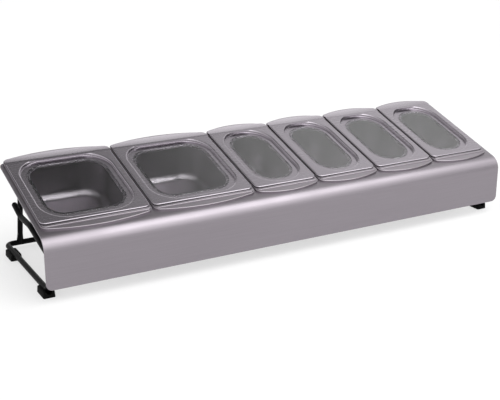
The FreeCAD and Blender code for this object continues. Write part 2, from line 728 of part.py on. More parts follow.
# Posts: leaning rods coped to the back rail, each with a tab under the deck
for side, sign in (("left", "-"), ("right", "")):
    shank = doc.addObject("Part::Cylinder", "post_shank_" + side)
    bind(shank, Radius="rod_half", Height="post_span")
    place(shank, sign + "post_x", "back_rail_y", "rail_height", "post_lean")
    cope = doc.addObject("Part::Cylinder", "post_cope_" + side)
    cope.Placement = FreeCAD.Placement(Vector(), FreeCAD.Rotation(Vector(0, 1, 0), 90))
    bind(cope, Radius="cope_half", Height="tab_length")
    bind(cope, Placement__Base__y="back_rail_y", Placement__Base__z="rail_height")
    cope.setExpression("Placement.Base.x", cell(sign + "post_x") + " - sizes.tab_half_x")
    lid_of_post = doc.addObject("Part::Box", "post_trim_" + side)
    bind(lid_of_post, Length="tab_length", Width="tab_length", Height="tab_length")
    place(lid_of_post, "0", "0", "post_top_z", "tilt")
    lid_of_post.setExpression("Placement.Base.x", cell(sign + "post_x") + " - sizes.tab_half_x")
    lid_of_post.setExpression("Placement.Base.y", "sizes.post_top_y - sizes.tab_half_x * cos(sizes.tilt)")
    lid_of_post.setExpression("Placement.Base.z", "sizes.post_top_z - sizes.tab_half_x * sin(sizes.tilt)")
    coped = doc.addObject("Part::Cut", "post_coped_" + side)
    coped.Base = shank
    coped.Tool = cope
    post = doc.addObject("Part::Cut", "rear_post_" + side)
    post.Base = coped
    post.Tool = lid_of_post
    post.Label = "rear_post_" + side

    tab = new_body("post_tab_" + side, sign + "tab_x", "tab_y", "tab_up", "tilt")
    plate = new_sketch(tab, "tab_outline_" + side, z="-tab_z")
    rounded_rectangle(plate, "tab_half_x", "tab_half_v", "tab_round")
    circle(plate, sign + "rear_stud_shift", "0", "stud_hole")
    pad(tab, plate, "tab_thick", "tab_pad_" + side)

# Brackets: bent plates welded to the rod and bolted to studs inside the apron
for side, sign in (("left", "-"), ("right", "")):
    bracket = new_body("front_bracket_" + side, z="bracket_base")
    ell = new_sketch(bracket, "bracket_ell_" + side)
    turn = 1 if sign == "-" else -1
    ends = []
    for flange_y, web_x, radius in (
        ("-apron_back", "bracket_x", "bracket_bend"),
        ("-bracket_flange_y", "bracket_web_x", "bracket_bend_in"),
    ):
        bend = (sign + "bracket_bend_x", "-bracket_bend_y", radius, -turn)
        ends.append(chain(ell, (sign + "bracket_in_x", flange_y), [bend], (sign + web_x, "-bracket_end_y")))
    close(ell, (ends[0][0], 1), (ends[1][0], 1))
    close(ell, (ends[0][1], 2), (ends[1][1], 2))
    pad(bracket, ell, "bracket_height", "bracket_pad_" + side)
    drill = new_sketch(bracket, "bracket_hole_" + side, "XZ_Plane", z="apron_back")
    drill.setExpression("AttachmentOffset.Base.y", "sizes.bracket_height / 2")
    circle(drill, sign + "front_stud_x", "0", "stud_hole")
    cut(bracket, drill, "foot_length", "bracket_drill_" + side, symmetric=True)

# Studs and nuts: one group of each
studs, nuts = [], []
for side, sign in (("left", "-"), ("right", "")):
    for end, x, y, z, nut_y, nut_z in (
        ("rear", "rear_stud_x", "rear_stud_y", "rear_stud_z", "rear_nut_y", "rear_nut_z"),
        ("front", "front_stud_x", "-apron_back", "front_stud_z", "-bracket_flange_y", "front_stud_z"),
    ):
        tag = end + "_" + side
        angle = 180 + at("tilt") if end == "rear" else -90
        turned = FreeCAD.Placement(Vector(), FreeCAD.Rotation(Vector(1, 0, 0), angle))
        stud = doc.addObject("Part::Cylinder", "stud_" + tag)
        stud.Placement = turned
        bind(stud, Radius="stud_half", Height="stud_length")
        place(stud, sign + x, y, z)
        hexagon = doc.addObject("Part::Prism", "nut_hexagon_" + tag)
        hexagon.Polygon = 6
        bore = doc.addObject("Part::Cylinder", "nut_bore_" + tag)
        bind(hexagon, Circumradius="nut_half", Height="nut_height")
        bind(bore, Radius="nut_hole", Height="nut_height")
        for piece in (hexagon, bore):
            piece.Placement = turned
            place(piece, sign + x, nut_y, nut_z)
        nut = doc.addObject("Part::Cut", "nut_" + tag)
        nut.Base = hexagon
        nut.Tool = bore
        studs.append(stud)
        nuts.append(nut)
        if end == "rear":
            for piece in (stud, hexagon, bore):
                piece.setExpression("Placement.Rotation.Angle", "180 + sizes.tilt")
weld_studs = doc.addObject("Part::Compound", "weld_studs")
weld_studs.Links = studs
stud_nuts = doc.addObject("Part::Compound", "stud_nuts")
stud_nuts.Links = nuts

# Feet: flared rubber saddles under the rails
def is_upright(edge):
    """Edge that climbs the full height of a foot."""
    return edge.BoundBox.ZLength > at("foot_height") / 2


for end in ("front", "rear"):
    for side, sign in (("left", "-"), ("right", "")):
        where = "-front_foot_y" if end == "front" else "rear_foot_y"
        tag = "%s_%s" % (end, side)
        foot = new_body("foot_" + tag, sign + "rail_x", where)
        block = new_sketch(foot, "foot_block_" + tag, "XZ_Plane")
        corners = [
            ("-foot_base_half", "0"),
            ("foot_base_half", "0"),
            ("foot_half", "foot_height"),
            ("-foot_half", "foot_height"),
        ]
        points = [Vector(at(x), at(z)) for x, z in corners]
        edges = [line(block, points[k], points[(k + 1) % 4]) for k in range(4)]
        for k in range(4):
            block.addConstraint(Sketcher.Constraint("Coincident", edges[k], 2, edges[(k + 1) % 4], 1))
            pin(block, edges[k], 1, *corners[k])
        pad(foot, block, "foot_length", "foot_pad_" + tag, symmetric=True)
        fillet(foot, "foot_round", is_upright, "foot_rounds_" + tag)
        saddle = new_sketch(foot, "foot_saddle_" + tag, "XZ_Plane")
        circle(saddle, "0", "rail_height", "saddle_half")
        cut(foot, saddle, "foot_cut", "foot_saddle_cut_" + tag, symmetric=True)

doc.recompute()

# Node list, state checks and export
NODES = ["deck_sheet", "stand_rod", "weld_studs", "stud_nuts"]
for name in ("rear_post", "post_tab", "front_bracket", "foot_front", "foot_rear"):
    NODES += [name + "_left", name + "_right"]
for name in ("pan", "lid_frame", "lid_window", "lid_seal"):
    NODES += ["%s_%s" % (name, number) for number, kind in PANS]
for item in doc.Objects:
    if "Invalid" in item.State or "Error" in item.State:
        raise RuntimeError(item.Name + " did not build")
os.makedirs("parts", exist_ok=True)
for name in NODES:
    shape = doc.getObject(name).Shape
    if shape.isNull() or not shape.isValid() or not shape.Solids:
        raise RuntimeError(name + " has no sound shape")
    shape.exportStep("parts/%s.step" % name)
    print(name, len(shape.Solids), round(shape.Volume, 1))
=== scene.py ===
"""Looks of a counter station: a tilted steel deck of pans with windowed lids, on a bent rod stand."""

import json
import logging
import math
from dataclasses import dataclass
from enum import Enum
from typing import Callable

import bpy
from mathutils import Matrix, Vector


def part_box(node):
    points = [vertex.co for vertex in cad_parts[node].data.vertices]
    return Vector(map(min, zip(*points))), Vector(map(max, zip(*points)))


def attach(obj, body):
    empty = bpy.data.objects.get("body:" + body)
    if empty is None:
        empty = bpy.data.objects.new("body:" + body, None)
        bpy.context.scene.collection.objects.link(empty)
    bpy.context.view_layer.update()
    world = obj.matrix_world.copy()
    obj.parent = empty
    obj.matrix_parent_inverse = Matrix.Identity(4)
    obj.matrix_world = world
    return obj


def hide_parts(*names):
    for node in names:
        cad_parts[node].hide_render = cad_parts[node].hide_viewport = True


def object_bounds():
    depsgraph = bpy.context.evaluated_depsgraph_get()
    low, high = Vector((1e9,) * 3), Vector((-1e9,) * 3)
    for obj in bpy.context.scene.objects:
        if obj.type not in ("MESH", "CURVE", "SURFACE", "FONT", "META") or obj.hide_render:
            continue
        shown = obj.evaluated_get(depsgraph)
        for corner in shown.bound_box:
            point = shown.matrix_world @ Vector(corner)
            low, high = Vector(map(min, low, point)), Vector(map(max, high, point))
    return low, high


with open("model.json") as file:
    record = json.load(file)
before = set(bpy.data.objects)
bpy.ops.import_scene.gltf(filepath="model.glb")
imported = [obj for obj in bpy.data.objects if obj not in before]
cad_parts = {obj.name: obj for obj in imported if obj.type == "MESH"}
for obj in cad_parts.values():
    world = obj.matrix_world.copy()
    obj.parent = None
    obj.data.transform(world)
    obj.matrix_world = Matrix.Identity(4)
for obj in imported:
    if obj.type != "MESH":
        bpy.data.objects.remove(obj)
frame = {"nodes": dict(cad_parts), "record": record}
CAD_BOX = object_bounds()

LOG = logging.getLogger("station")
MM = 0.001
PAN_COUNT = 6
# Widths that agree to a tenth of a millimetre share one modelled piece.
WIDTH_DIGITS = 4
# Faces that meet at less than this angle, in degrees, are shaded as one surface.
SMOOTH_ANGLE = 35.0
# A face whose normal has at least this share along an axis looks along it.
FACING = 0.9
# A point beyond this share of the half width lies on the side of a piece.
AT_SIDE = 0.98
# Offset at which a solidify modifier grows its wall behind the faces.
BEHIND = -1.0
# The mix node repeats the names of its sockets for each type, so they go by number.
MIX_SHARE, MIX_FLOAT_A, MIX_FLOAT_B, MIX_COLOUR_A, MIX_COLOUR_B = 0, 2, 3, 6, 7
MIX_FLOAT_OUT, MIX_COLOUR_OUT = 0, 2


class Side(Enum):
    """The two ends of the row, as the nodes spell them."""

    LEFT = "left"
    RIGHT = "right"


class Body(Enum):
    """CAD bodies that pieces ride on; pans and lids are numbered along the row."""

    STATION = "station"
    PAN = "pan_%d_body"
    LID = "lid_%d_body"


def linear(hex_colour: str) -> tuple[float, float, float, float]:
    """Turn an sRGB hex colour into linear light.

    Args:
        hex_colour: Six hex digits with a leading hash.

    Returns:
        Linear red, green and blue with full alpha.
    """
    parts = [int(hex_colour[k:k + 2], 16) / 255 for k in (1, 3, 5)]
    red, green, blue = [c / 12.92 if c <= 0.04045 else ((c + 0.055) / 1.055) ** 2.4 for c in parts]
    return (red, green, blue, 1.0)


def add_node(
    tree: bpy.types.NodeTree,
    kind: str,
    values: dict | None = None,
    links: dict | None = None,
    **settings: object,
) -> bpy.types.Node:
    """Add a shader node with its settings, socket values and links.

    Args:
        tree: Node tree that gets the node.
        kind: Blender's identifier of the node type.
        values: Input sockets by name or number, with their values.
        links: Input sockets by name or number, with the output sockets that feed them.
        settings: Properties of the node itself.

    Returns:
        The new node.
    """
    node = tree.nodes.new(kind)
    for name, value in settings.items():
        setattr(node, name, value)
    for socket, value in (values or {}).items():
        node.inputs[socket].default_value = value
    for socket, source in (links or {}).items():
        tree.links.new(source, node.inputs[socket])
    return node


def grain(
    tree: bpy.types.NodeTree, size_mm: tuple[float, float, float], detail: float
) -> bpy.types.NodeSocket:
    """Add a noise whose features have a real size along X, Y and Z.

    Args:
        tree: Node tree that gets the noise.
        size_mm: Size of a feature along each axis, in millimetres.
        detail: Number of finer octaves.

    Returns:
        The noise's value, from 0 to 1.
    """
    place = add_node(tree, "ShaderNodeTexCoord")
    scale = [1 / (size * MM) for size in size_mm]
    mapping = add_node(tree, "ShaderNodeMapping", {"Scale": scale}, {"Vector": place.outputs["Object"]})
    noise = add_node(
        tree, "ShaderNodeTexNoise", {"Scale": 1.0, "Detail": detail}, {"Vector": mapping.outputs["Vector"]}
    )
    return noise.outputs[0]


@dataclass(frozen=True)
class Finish:
    """A surface finish that can build its own material."""

    name: str
    colour: str
    roughness: float
    metallic: float = 0.0

    def material(self) -> bpy.types.Material:
        """Build the node material of this finish.

        Returns:
            The new material.
        """
        material = bpy.data.materials.new(self.name)
        material.use_nodes = True
        tree = material.node_tree
        shader = tree.nodes["Principled BSDF"]
        shader.inputs["Base Color"].default_value = linear(self.colour)
        shader.inputs["Roughness"].default_value = self.roughness
        shader.inputs["Metallic"].default_value = self.metallic
        self.pattern(tree, shader)
        return material

    def pattern(self, tree: bpy.types.NodeTree, shader: bpy.types.Node) -> None:
        """Add what varies over the surface; a plain finish adds nothing."""


@dataclass(frozen=True)
class BrushedSteel(Finish):
    """Steel with fine marks along the row, as an abrasive belt, a polishing wheel or a lathe leaves them.

    The parallel marks draw reflections out across them, and handling leaves wide, faint patches of
    duller metal.
    """

    metallic: float = 1.0
    dark: str = "#808080"
    stroke_mm: float = 70.0
    line_mm: float = 0.9
    relief_mm: float = 0.02
    relief_share: float = 0.35
    patch_mm: float = 80.0
    patch_share: float = 0.5
    spread: float = 0.10
    octaves: float = 3.0
    patch_octaves: float = 2.0
    span: tuple[float, float] = (0.25, 0.75)

    def pattern(self, tree: bpy.types.NodeTree, shader: bpy.types.Node) -> None:
        """Add scratches along X to colour, roughness and relief.

        Real scratches are about 0.1 mm apart, and are drawn wider so that they show.

        Args:
            tree: Node tree of the material.
            shader: Its principled shader.
        """
        scratches = grain(tree, (self.stroke_mm, self.line_mm, self.line_mm), self.octaves)
        patches = grain(tree, (self.patch_mm,) * 3, self.patch_octaves)
        tone = add_node(
            tree,
            "ShaderNodeMix",
            {MIX_COLOUR_A: linear(self.dark), MIX_COLOUR_B: linear(self.colour)},
            {MIX_SHARE: scratches},
            data_type="RGBA",
        )
        tree.links.new(tone.outputs[MIX_COLOUR_OUT], shader.inputs["Base Color"])
        blend = add_node(
            tree,
            "ShaderNodeMix",
            {MIX_SHARE: self.patch_share},
            {MIX_FLOAT_A: scratches, MIX_FLOAT_B: patches},
            data_type="FLOAT",
        )
        gloss = add_node(
            tree,
            "ShaderNodeMapRange",
            {
                "From Min": self.span[0],
                "From Max": self.span[1],
                "To Min": self.roughness - self.spread,
                "To Max": self.roughness + self.spread,
            },
            {"Value": blend.outputs[MIX_FLOAT_OUT]},
        )
        tree.links.new(gloss.outputs["Result"], shader.inputs["Roughness"])
        relief = add_node(
            tree,
            "ShaderNodeBump",
            {"Strength": self.relief_share, "Distance": self.relief_mm * MM},
            {"Height": scratches},
        )
        tree.links.new(relief.outputs["Normal"], shader.inputs["Normal"])


@dataclass(frozen=True)
class ClearPlastic(Finish):
    """Moulded polycarbonate pane: clear, with a faint haze and a slow waviness from the mould."""

    ior: float = 1.585
    haze_mm: float = 5.0
    haze: float = 0.02
    haze_octaves: float = 4.0
    haze_span: tuple[float, float] = (0.35, 0.75)
    wave_mm: float = 60.0
    wave_octaves: float = 0.0
    wave_depth_mm: float = 0.004
    wave_share: float = 1.0

    def pattern(self, tree: bpy.types.NodeTree, shader: bpy.types.Node) -> None:
        """Let light through and add haze and waviness.

        Args:
            tree: Node tree of the material.
            shader: Its principled shader.
        """
        shader.inputs["Transmission Weight"].default_value = 1.0
        shader.inputs["IOR"].default_value = self.ior
        haze = grain(tree, (self.haze_mm,) * 3, self.haze_octaves)
        gloss = add_node(
            tree,
            "ShaderNodeMapRange",
            {
                "From Min": self.haze_span[0],
                "From Max": self.haze_span[1],
                "To Min": self.roughness,
                "To Max": self.roughness + self.haze,
            },
            {"Value": haze},
        )
        tree.links.new(gloss.outputs["Result"], shader.inputs["Roughness"])
        wave = grain(tree, (self.wave_mm,) * 3, self.wave_octaves)
        relief = add_node(
            tree,
            "ShaderNodeBump",
            {"Strength": self.wave_share, "Distance": self.wave_depth_mm * MM},
            {"Height": wave},
        )
        tree.links.new(relief.outputs["Normal"], shader.inputs["Normal"])


@dataclass(frozen=True)
class GrainedSolid(Finish):
    """Opaque finish with an even fine grain, such as powder coat, rubber or silicone."""

    light: str = "#303030"
    specular: float = 0.5
    grain_mm: float = 0.8
    octaves: float = 3.0
    relief_mm: float = 0.05
    relief_share: float = 0.6
    spread: float = 0.08
    span: tuple[float, float] = (0.3, 0.7)

    def pattern(self, tree: bpy.types.NodeTree, shader: bpy.types.Node) -> None:
        """Add an even grain to colour, roughness and relief.

        Args:
            tree: Node tree of the material.
            shader: Its principled shader.
        """
        shader.inputs["Specular IOR Level"].default_value = self.specular
        specks = grain(tree, (self.grain_mm,) * 3, self.octaves)
        tone = add_node(
            tree,
            "ShaderNodeMix",
            {MIX_COLOUR_A: linear(self.colour), MIX_COLOUR_B: linear(self.light)},
            {MIX_SHARE: specks},
            data_type="RGBA",
        )
        tree.links.new(tone.outputs[MIX_COLOUR_OUT], shader.inputs["Base Color"])
        gloss = add_node(
            tree,
            "ShaderNodeMapRange",
            {
                "From Min": self.span[0],
                "From Max": self.span[1],
                "To Min": self.roughness - self.spread,
                "To Max": self.roughness + self.spread,
            },
            {"Value": specks},
        )
        tree.links.new(gloss.outputs["Result"], shader.inputs["Roughness"])
        relief = add_node(
            tree,
            "ShaderNodeBump",
            {"Strength": self.relief_share, "Distance": self.relief_mm * MM},
            {"Height": specks},
        )
        tree.links.new(relief.outputs["Normal"], shader.inputs["Normal"])


# Belt-brushed stainless sheet: long soft streaks along the row, across which highlights spread.
SHEET_STEEL = BrushedSteel("brushed_stainless_sheet", "#979197", 0.36, dark="#8B858B")
# Drawn stainless sheet, satin-polished: a short fine grain and soft reflections.
PAN_STEEL = BrushedSteel(
    "satin_stainless_pan",
    "#A39DA3",
    0.34,
    dark="#9C969C",
    stroke_mm=12.0,
    line_mm=0.7,
    relief_mm=0.003,
    spread=0.05,
)
# Pressed stainless sheet, satin-polished: the smoothest steel here, so rims catch clear highlights.
LID_STEEL = BrushedSteel(
    "satin_stainless_lid",
    "#A8A2A9",
    0.27,
    dark="#A49EA5",
    stroke_mm=24.0,
    line_mm=0.8,
    relief_mm=0.0005,
    spread=0.02,
)
# Turned steel: bright, with short fine marks.
BOLT_STEEL = BrushedSteel(
    "turned_steel_fastener",
    "#A8A8A6",
    0.30,
    dark="#8E8E8C",
    stroke_mm=3.0,
    line_mm=0.4,
    relief_mm=0.01,
    spread=0.08,
)
# Moulded polycarbonate: clear, so that the pan shows through it.
PANE_PLASTIC = ClearPlastic("clear_polycarbonate", "#F6F7F7", 0.0)
# Moulded silicone seal under the lid, dull; its dark colour is partly painted shade, standing in for the
# shadow line in the gap under the lid's edge.
SEAL_SILICONE_AND_SHADOW_LINE = GrainedSolid(
    "dark_silicone", "#2A2A2C", 0.60, light="#38383A", grain_mm=1.2, relief_mm=0.03
)
# Baked powder coat: near-black, with a weak sheen that fine orange peel breaks up.
ROD_COAT = GrainedSolid(
    "black_powder_coat", "#060607", 0.46, light="#0D0D0E", specular=0.06, grain_mm=0.9, relief_mm=0.05
)
# Moulded rubber: black and dull, with hardly any highlight.
FOOT_RUBBER = GrainedSolid(
    "moulded_black_rubber", "#0C0C0C", 0.70, light="#0E0E0E", specular=0.06, grain_mm=0.7, relief_mm=0.05
)


def dress(node: str, material: bpy.types.Material) -> None:
    """Give a CAD node one material.

    Args:
        node: Name of the node.
        material: Its material.
    """
    slots = frame["nodes"][node].data.materials
    slots.clear()
    slots.append(material)
    LOG.info("dressed %s in %s", node, material.name)


def begin() -> None:
    """Leave nothing selected, ready for a new piece."""
    bpy.ops.object.select_all(action="DESELECT")


def select_faces(piece: bpy.types.Object, test: Callable[[bpy.types.MeshPolygon], bool]) -> None:
    """In edit mode, select only the faces that pass a test.

    Args:
        piece: Object in edit mode.
        test: Says whether a face is wanted.
    """
    bpy.ops.mesh.select_all(action="DESELECT")
    bpy.ops.object.mode_set(mode="OBJECT")
    for face in piece.data.polygons:
        face.select = test(face)
    bpy.ops.object.mode_set(mode="EDIT")


def select_edges(piece: bpy.types.Object, test: Callable[[Vector, Vector], bool]) -> None:
    """In edit mode, select only the edges whose two ends pass a test.

    Args:
        piece: Object in edit mode.
        test: Says whether an edge between two points is wanted.
    """
    bpy.ops.mesh.select_mode(type="EDGE")
    bpy.ops.mesh.select_all(action="DESELECT")
    bpy.ops.object.mode_set(mode="OBJECT")
    points = piece.data.vertices
    for edge in piece.data.edges:
        edge.select = test(points[edge.vertices[0]].co, points[edge.vertices[1]].co)
    bpy.ops.object.mode_set(mode="EDIT")


def settle(piece: bpy.types.Object) -> None:
    """Move an object's place, turn and scale into its mesh.

    Args:
        piece: Object that ends at the origin, unturned and unscaled.
    """
    begin()
    piece.select_set(True)
    bpy.context.view_layer.objects.active = piece
    bpy.ops.object.transform_apply(location=True, rotation=True, scale=True)


def carve(piece: bpy.types.Object, cutter: bpy.types.Object, operation: str = "DIFFERENCE") -> None:
    """Trim one object by another and remove the cutter.

    Args:
        piece: Object that loses material.
        cutter: Object that is taken away, or that holds what stays.
        operation: DIFFERENCE takes the cutter away, and INTERSECT keeps what lies in it.
    """
    begin()
    bpy.context.view_layer.objects.active = piece
    piece.select_set(True)
    cut = piece.modifiers.new("cut", "BOOLEAN")
    cut.operation = operation
    cut.object = cutter
    cut.solver = "EXACT"
    bpy.ops.object.modifier_apply(modifier=cut.name)
    bpy.data.objects.remove(cutter)


def smooth(piece: bpy.types.Object) -> None:
    """Shade a piece smooth where its faces meet at a small angle.

    Args:
        piece: Object to shade.
    """
    begin()
    piece.select_set(True)
    bpy.context.view_layer.objects.active = piece
    bpy.ops.object.shade_smooth_by_angle(angle=math.radians(SMOOTH_ANGLE))


def copy_of(piece: bpy.types.Object) -> bpy.types.Object:
    """Copy a modelled piece with its own mesh.

    Args:
        piece: Object to copy.

    Returns:
        The copy.
    """
    copy = piece.copy()
    copy.data = piece.data.copy()
    bpy.context.scene.collection.objects.link(copy)
    return copy


def finish_piece(
    piece: bpy.types.Object, name: str, body: str, material: bpy.types.Material
) -> None:
    """Name a new piece, give it its material, and let it ride on its body.

    Args:
        piece: The finished object, at rest in the frame.
        name: Name of the piece.
        body: CAD body that carries it.
        material: Its material.
    """
    piece.name = name
    piece.data.name = name
    piece.data.materials.clear()
    piece.data.materials.append(material)
    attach(piece, body)
    LOG.info("made %s, %d faces, on %s", name, len(piece.data.polygons), body)


@dataclass
class DeckSheet:
    """The bent sheet: deck, front bend and apron in one."""

    node: str = "deck_sheet"

    def dress(self) -> None:
        """Give the sheet its brushed finish."""
        dress(self.node, SHEET_STEEL.material())


@dataclass
class Seat:
    """Where a pan and its lid sit, on axes that lie along the row, up the deck and square to it.

    The origin of these axes is the middle of the pan's opening, level with the deck.
    """

    number: int
    pane_middle_mm: float = 0.25
    rim_top_mm: float = 2.6
    lid_top_mm: float = 5.0
    lid_half_depth_mm: float = 81.0
    rim_half_depth_mm: float = 88.0
    arch_mm: float = 10.0

    @property
    def lid_half(self) -> float:
        """Half the lid's width along the row, in metres."""
        low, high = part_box("lid_frame_%d" % self.number)
        return (high.x - low.x) / 2

    @property
    def rim_half(self) -> float:
        """Half the pan rim's width along the row, in metres."""
        low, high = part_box("pan_%d" % self.number)
        return (high.x - low.x) / 2

    @property
    def arch_radius(self) -> float:
        """Radius of the arched grip at the pan's front and rear, in metres."""
        arch = self.arch_mm * MM
        return (self.rim_half ** 2 + arch ** 2) / (2 * arch)

    def place(self) -> Matrix:
        """Work out the turn and place of the seat from the frame.

        Returns:
            Matrix from the seat's own axes to the frame.
        """
        joints = frame["record"]["behaviour"]["joints"]
        up = Vector(next(joint["axis"] for joint in joints if joint["name"] == "lid_%d_lift" % self.number))
        low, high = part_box("lid_window_%d" % self.number)
        middle = (low + high) / 2 - up * self.pane_middle_mm * MM
        return Matrix.Translation(middle) @ Matrix.Rotation(math.atan2(-up.y, up.z), 4, "X")

    def set_down(self, piece: bpy.types.Object) -> None:
        """Move a piece modelled on the seat's own axes to its place in the frame."""
        piece.matrix_world = self.place()
        settle(piece)


def lay_row(
    model: Callable[[Seat], bpy.types.Object],
    name: str,
    body: Body,
    material: bpy.types.Material,
) -> None:
    """Model one piece per width of pan, and set a copy of it on every seat of the row.

    Args:
        model: Models the piece on the axes of a seat.
        name: Name of the pieces, before their number.
        body: Numbered body that carries each piece.
        material: Material of the pieces.
    """
    blanks: dict[float, bpy.types.Object] = {}
    for number in range(1, PAN_COUNT + 1):
        seat = Seat(number)
        width = round(seat.lid_half, WIDTH_DIGITS)
        if width not in blanks:
            blanks[width] = model(seat)
        piece = copy_of(blanks[width])
        seat.set_down(piece)
        finish_piece(piece, "%s_%d" % (name, number), body.value % number, material)
    for blank in blanks.values():
        bpy.data.objects.remove(blank)


@dataclass
class PanRow:
    """The drawn pans that hang in the deck, with a raised step between the lid and each arched grip."""

    step_gap_mm: float = 0.5
    step_depth_mm: float = 5.0
    step_height_mm: float = 1.0
    step_inset_mm: float = 1.5
    corner_mm: float = 4.5
    corner_segments: int = 6
    edge_mm: float = 0.6
    edge_segments: int = 3

    def dress(self) -> None:
        """Give all pans one satin finish and model their steps."""
        steel = PAN_STEEL.material()
        for number in range(1, PAN_COUNT + 1):
            dress("pan_%d" % number, steel)
        lay_row(self.steps, "rim_step", Body.PAN, steel)

    def steps(self, seat: Seat) -> bpy.types.Object:
        """Model the front and rear step of one pan on its seat's axes.

        Args:
            seat: Seat of a pan of the right width.

        Returns:
            Both steps as one object.
        """
        near = (seat.lid_half_depth_mm + self.step_gap_mm) * MM
        depth, height = self.step_depth_mm * MM, self.step_height_mm * MM
        middle = Vector((0, -near - depth / 2, seat.rim_top_mm * MM + height / 2))
        begin()
        bpy.ops.mesh.primitive_cube_add(size=1.0, location=middle)
        piece = bpy.context.object
        piece.scale = (2 * (seat.lid_half - self.step_inset_mm * MM), depth, height)
        settle(piece)
        bpy.ops.object.mode_set(mode="EDIT")
        select_edges(piece, lambda a, b: abs(a.z - b.z) > height / 2 and a.y < middle.y)
        bpy.ops.mesh.bevel(offset=self.corner_mm * MM, segments=self.corner_segments, affect="EDGES")
        select_edges(piece, lambda a, b: min(a.z, b.z) > middle.z)
        bpy.ops.mesh.bevel(offset=self.edge_mm * MM, segments=self.edge_segments, affect="EDGES")
        bpy.ops.mesh.select_all(action="SELECT")
        bpy.ops.mesh.duplicate()
        bpy.ops.transform.rotate(value=math.pi, orient_axis="Z", center_override=(0, 0, 0))
        bpy.ops.object.mode_set(mode="OBJECT")
        smooth(piece)
        return piece


@dataclass
class LidRow:
    """The windowed lids: frame, pane and seal, with a pressed lip that slopes down behind each lid."""

    crease_in_mm: float = 6.0
    lip_lap_mm: float = 3.5
    lip_proud_mm: float = 0.02
    ridge_mm: float = 0.60
    lip_short_mm: float = 3.2
    trim_mm: float = 2.0
    lip_thick_mm: float = 0.5
    lip_corner_mm: float = 6.0
    corner_segments: int = 6
    arch_sides: int = 144
    crease_angle: float = 4.0
    end_angle: float = 9.8
    runs: int = 12

    def dress(self) -> None:
        """Give frames, panes and seals their finishes and model the lips."""
        materials = {
            "lid_window": PANE_PLASTIC.material(),
            # The seal's dark colour partly paints the shadow line under each lid's edge.
            "lid_seal": SEAL_SILICONE_AND_SHADOW_LINE.material(),
            "lid_frame": LID_STEEL.material(),
        }
        for name, material in materials.items():
            for number in range(1, PAN_COUNT + 1):
                dress("%s_%d" % (name, number), material)
        lay_row(self.lip, "lid_lip", Body.LID, materials["lid_frame"])

    def lip(self, seat: Seat) -> bpy.types.Object:
        """Model the lip of one lid on its seat's axes.

        Args:
            seat: Seat of a lid of the right width.

        Returns:
            The lip, cut to the arch of the grip below it.
        """
        crease = (seat.lid_half_depth_mm - self.crease_in_mm) * MM
        lap = self.lip_lap_mm * MM
        end = (seat.rim_half_depth_mm + seat.arch_mm - self.lip_short_mm) * MM
        top = (seat.lid_top_mm + self.lip_proud_mm) * MM
        run = (end - crease) / self.runs
        begin()
        bpy.ops.mesh.primitive_plane_add(size=1.0, location=(0, crease - lap / 2, top))
        piece = bpy.context.object
        piece.scale = (2 * (seat.lid_half + self.trim_mm * MM), lap, 1)
        settle(piece)
        bpy.ops.object.mode_set(mode="EDIT")
        select_edges(piece, lambda a, b: min(a.y, b.y) > crease - lap / 2)
        bpy.ops.transform.translate(value=(0, 0, self.ridge_mm * MM))
        for turn in range(self.runs):
            angle = self.crease_angle + (self.end_angle - self.crease_angle) * turn / (self.runs - 1)
            fall = -run * math.tan(math.radians(angle))
            bpy.ops.mesh.extrude_region_move(TRANSFORM_OT_translate={"value": (0, run, fall)})
        bpy.ops.mesh.select_all(action="SELECT")
        bpy.ops.mesh.normals_make_consistent(inside=False)
        bpy.ops.object.mode_set(mode="OBJECT")
        if piece.data.polygons[0].normal.z < 0:
            piece.data.flip_normals()
        wall = piece.modifiers.new("wall", "SOLIDIFY")
        wall.thickness = self.lip_thick_mm * MM
        wall.offset = BEHIND
        bpy.ops.object.modifier_apply(modifier=wall.name)
        carve(piece, self.outline(seat, end), "INTERSECT")
        smooth(piece)
        return piece

    def outline(self, seat: Seat, end: float) -> bpy.types.Object:
        """Model the block that cuts a lip to its outline: an arch with two rounded corners.

        Args:
            seat: Seat of the lid.
            end: Rear end of the arch on the seat's axes.

        Returns:
            The block.
        """
        radius = seat.arch_radius - self.lip_short_mm * MM
        begin()
        bpy.ops.mesh.primitive_cylinder_add(
            vertices=self.arch_sides, radius=radius, depth=end, location=(0, end - radius, 0)
        )
        block = bpy.context.object
        begin()
        bpy.ops.mesh.primitive_cube_add(size=2.0)
        sides = bpy.context.object
        sides.scale = (seat.lid_half, 2 * end, end)
        carve(block, sides, "INTERSECT")
        bpy.ops.object.mode_set(mode="EDIT")
        edge, rear = AT_SIDE * seat.lid_half, end / 2
        select_edges(
            block,
            lambda a, b: abs(a.z - b.z) > rear
            and min(a.y, b.y) > rear
            and min(abs(a.x), abs(b.x)) > edge,
        )
        bpy.ops.mesh.bevel(offset=self.lip_corner_mm * MM, segments=self.corner_segments, affect="EDGES")
        bpy.ops.object.mode_set(mode="OBJECT")
        return block


